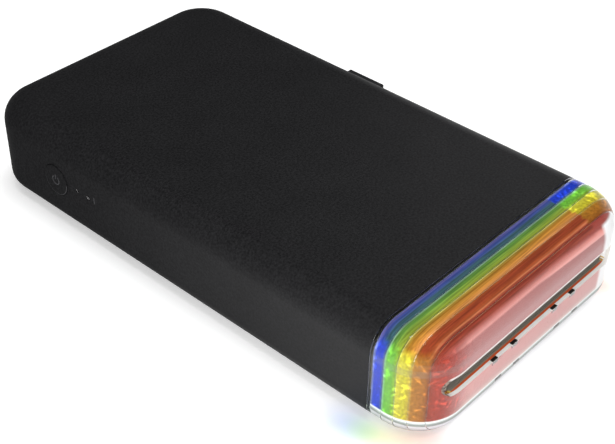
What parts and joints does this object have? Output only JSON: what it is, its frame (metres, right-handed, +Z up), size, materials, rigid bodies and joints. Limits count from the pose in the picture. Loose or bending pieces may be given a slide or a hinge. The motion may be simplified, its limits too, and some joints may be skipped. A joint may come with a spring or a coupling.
{
  "type": "compact photo printer",
  "caption": "Slab-shaped pocket dye-sublimation photo printer: black shell with side cartridge door, clear rainbow-layered exit end with slot, and a geared feed, ribbon and head mechanism.",
  "frame": {"origin": "under the middle of the body, on the surface that the feet stand on", "axes": "+X towards the cartridge door side, -Y towards the exit end, +Z up"},
  "size_m": [0.082, 0.15, 0.027],
  "materials": {
    "black_shell": "fine matt texture",
    "black_part": "satin",
    "rubber_black": "matt",
    "clear_plastic": "clear polished",
    "layer_blue": "translucent gloss",
    "layer_green": "translucent gloss",
    "layer_yellow": "translucent gloss",
    "layer_orange": "translucent gloss",
    "layer_red": "translucent gloss",
    "steel": "brushed",
    "zinc_plate": "zinc-plated sheet",
    "aluminium": "extruded",
    "brass": "sintered",
    "gear_plastic": "natural acetal",
    "spool_plastic": "white",
    "ribbon_yellow": "dye film",
    "ribbon_used": "dye film",
    "paper": "coated paper",
    "circuit_board": "solder mask",
    "chip_black": "moulded",
    "battery_wrap": "shrink wrap",
    "wire_red": "wire insulation",
    "ceramic": "ceramic"
  },
  "bodies": {
    "printer_body": {"housing": "black_shell", "bottom_cover": "black_part", "bottom_screws": "steel", "rubber_feet": "rubber_black", "front_cap": "clear_plastic", "blue_layer": "layer_blue", "green_layer": "layer_green", "yellow_layer": "layer_yellow", "orange_layer": "layer_orange", "red_layer": "layer_red", "exit_chute": "black_part", "indicator_lenses": "clear_plastic", "left_side_plate": "zinc_plate", "right_side_plate": "zinc_plate", "small_screws": "steel", "tie_bars": "steel", "overhead_bracket": "zinc_plate", "head_pivot_shaft": "steel", "shaft_bushings": "brass", "idler_studs": "steel", "feed_motor": "steel", "head_motor": "steel", "pinch_springs": "steel", "deck": "black_part", "battery": "battery_wrap", "battery_lead": "wire_red", "main_board": "circuit_board", "board_chips": "chip_black", "usb_socket": "steel", "switch_board": "circuit_board", "tact_switch": "chip_black", "door_hinge_pins": "steel", "drive_belt": "rubber_black"},
    "door": {"cartridge_door": "black_shell"},
    "button": {"power_button": "black_shell"},
    "cartridge": {"cartridge_frame": "black_part", "lift_plate": "zinc_plate", "paper_stack": "paper", "ink_ribbon": "ribbon_yellow"},
    "used_ribbon": {"take_up_spool": "spool_plastic", "take_up_roll": "ribbon_used"},
    "new_ribbon": {"supply_spool": "spool_plastic", "supply_roll": "ribbon_yellow"},
    "platen": {"platen_shaft": "steel", "platen_sleeve": "rubber_black", "platen_gear": "gear_plastic"},
    "grip": {"grip_roller": "steel", "grip_gear": "gear_plastic"},
    "pinch": {"pinch_roller": "rubber_black"},
    "pickup": {"pickup_shaft": "steel", "pickup_roller": "rubber_black", "pickup_gear": "gear_plastic"},
    "rear_idler": {"rear_idler_gear": "gear_plastic"},
    "front_idler": {"front_idler_gear": "gear_plastic"},
    "feed_pinion": {"motor_pinion": "brass"},
    "ribbon_drive": {"take_up_spindle": "gear_plastic"},
    "print_head": {"head_bracket": "zinc_plate", "head_heat_sink": "aluminium", "thermal_head": "ceramic"},
    "head_cam": {"cam_shaft": "gear_plastic"}
  },
  "joints": [
    {"name": "door_hinge", "type": "hinge", "parent": "printer_body", "child": "door", "pos_m": [0.03905, 0.0046, 0.0043], "axis": [0, 1, 0], "range_deg": [0, 90]},
    {"name": "button_press", "type": "slide", "parent": "printer_body", "child": "button", "axis": [1, 0, 0], "range_m": [0, 0.00045], "stiffness_N_per_m": 600},
    {"name": "cartridge_slide", "type": "slide", "parent": "printer_body", "child": "cartridge", "axis": [1, 0, 0], "range_m": [0, 0.008]},
    {"name": "platen_spin", "type": "hinge", "parent": "printer_body", "child": "platen", "pos_m": [0, -0.034, 0.0063], "axis": [1, 0, 0], "continuous": true},
    {"name": "grip_spin", "type": "hinge", "parent": "printer_body", "child": "grip", "pos_m": [0, -0.0533, 0.0073], "axis": [1, 0, 0], "continuous": true},
    {"name": "pinch_spin", "type": "hinge", "parent": "printer_body", "child": "pinch", "pos_m": [0, -0.0533, 0.01205], "axis": [1, 0, 0], "continuous": true},
    {"name": "pickup_spin", "type": "hinge", "parent": "printer_body", "child": "pickup", "pos_m": [-0.032, -0.004, 0.0139], "axis": [1, 0, 0], "continuous": true},
    {"name": "rear_idler_spin", "type": "hinge", "parent": "printer_body", "child": "rear_idler", "pos_m": [-0.032, -0.018, 0.01416], "axis": [1, 0, 0], "continuous": true},
    {"name": "front_idler_spin", "type": "hinge", "parent": "printer_body", "child": "front_idler", "pos_m": [-0.032, -0.02745, 0.01089], "axis": [1, 0, 0], "continuous": true},
    {"name": "feed_pinion_spin", "type": "hinge", "parent": "printer_body", "child": "feed_pinion", "pos_m": [-0.032, 0.00705, 0.01707], "axis": [1, 0, 0], "continuous": true},
    {"name": "ribbon_drive_spin", "type": "hinge", "parent": "printer_body", "child": "ribbon_drive", "pos_m": [-0.032, -0.0455, 0.01575], "axis": [1, 0, 0], "continuous": true},
    {"name": "used_ribbon_spin", "type": "hinge", "parent": "cartridge", "child": "used_ribbon", "pos_m": [0, -0.0455, 0.01575], "axis": [1, 0, 0], "continuous": true},
    {"name": "new_ribbon_spin", "type": "hinge", "parent": "cartridge", "child": "new_ribbon", "pos_m": [0, -0.021, 0.01575], "axis": [1, 0, 0], "continuous": true},
    {"name": "head_tilt", "type": "hinge", "parent": "printer_body", "child": "print_head", "pos_m": [0, -0.0142, 0.0224], "axis": [1, 0, 0], "range_deg": [0, 3.6]},
    {"name": "head_cam_turn", "type": "hinge", "parent": "printer_body", "child": "head_cam", "pos_m": [0, -0.0055, 0.0209], "axis": [1, 0, 0], "range_deg": [0, 90]}
  ],
  "couplings": [
    {"joint": "door_hinge", "follows": "cartridge_slide", "rad_per_m": 196.35},
    {"joint": "grip_spin", "follows": "platen_spin", "ratio": 1.4},
    {"joint": "pinch_spin", "follows": "platen_spin", "ratio": -1.75},
    {"joint": "front_idler_spin", "follows": "platen_spin", "ratio": -0.6},
    {"joint": "rear_idler_spin", "follows": "platen_spin", "ratio": 0.6},
    {"joint": "pickup_spin", "follows": "platen_spin", "ratio": -0.33333},
    {"joint": "feed_pinion_spin", "follows": "platen_spin", "ratio": 1.2},
    {"joint": "ribbon_drive_spin", "follows": "platen_spin", "ratio": -0.6125},
    {"joint": "used_ribbon_spin", "follows": "platen_spin", "ratio": -0.6125},
    {"joint": "new_ribbon_spin", "follows": "platen_spin", "ratio": -0.525},
    {"joint": "head_cam_turn", "follows": "head_tilt", "ratio": 25}
  ]
}
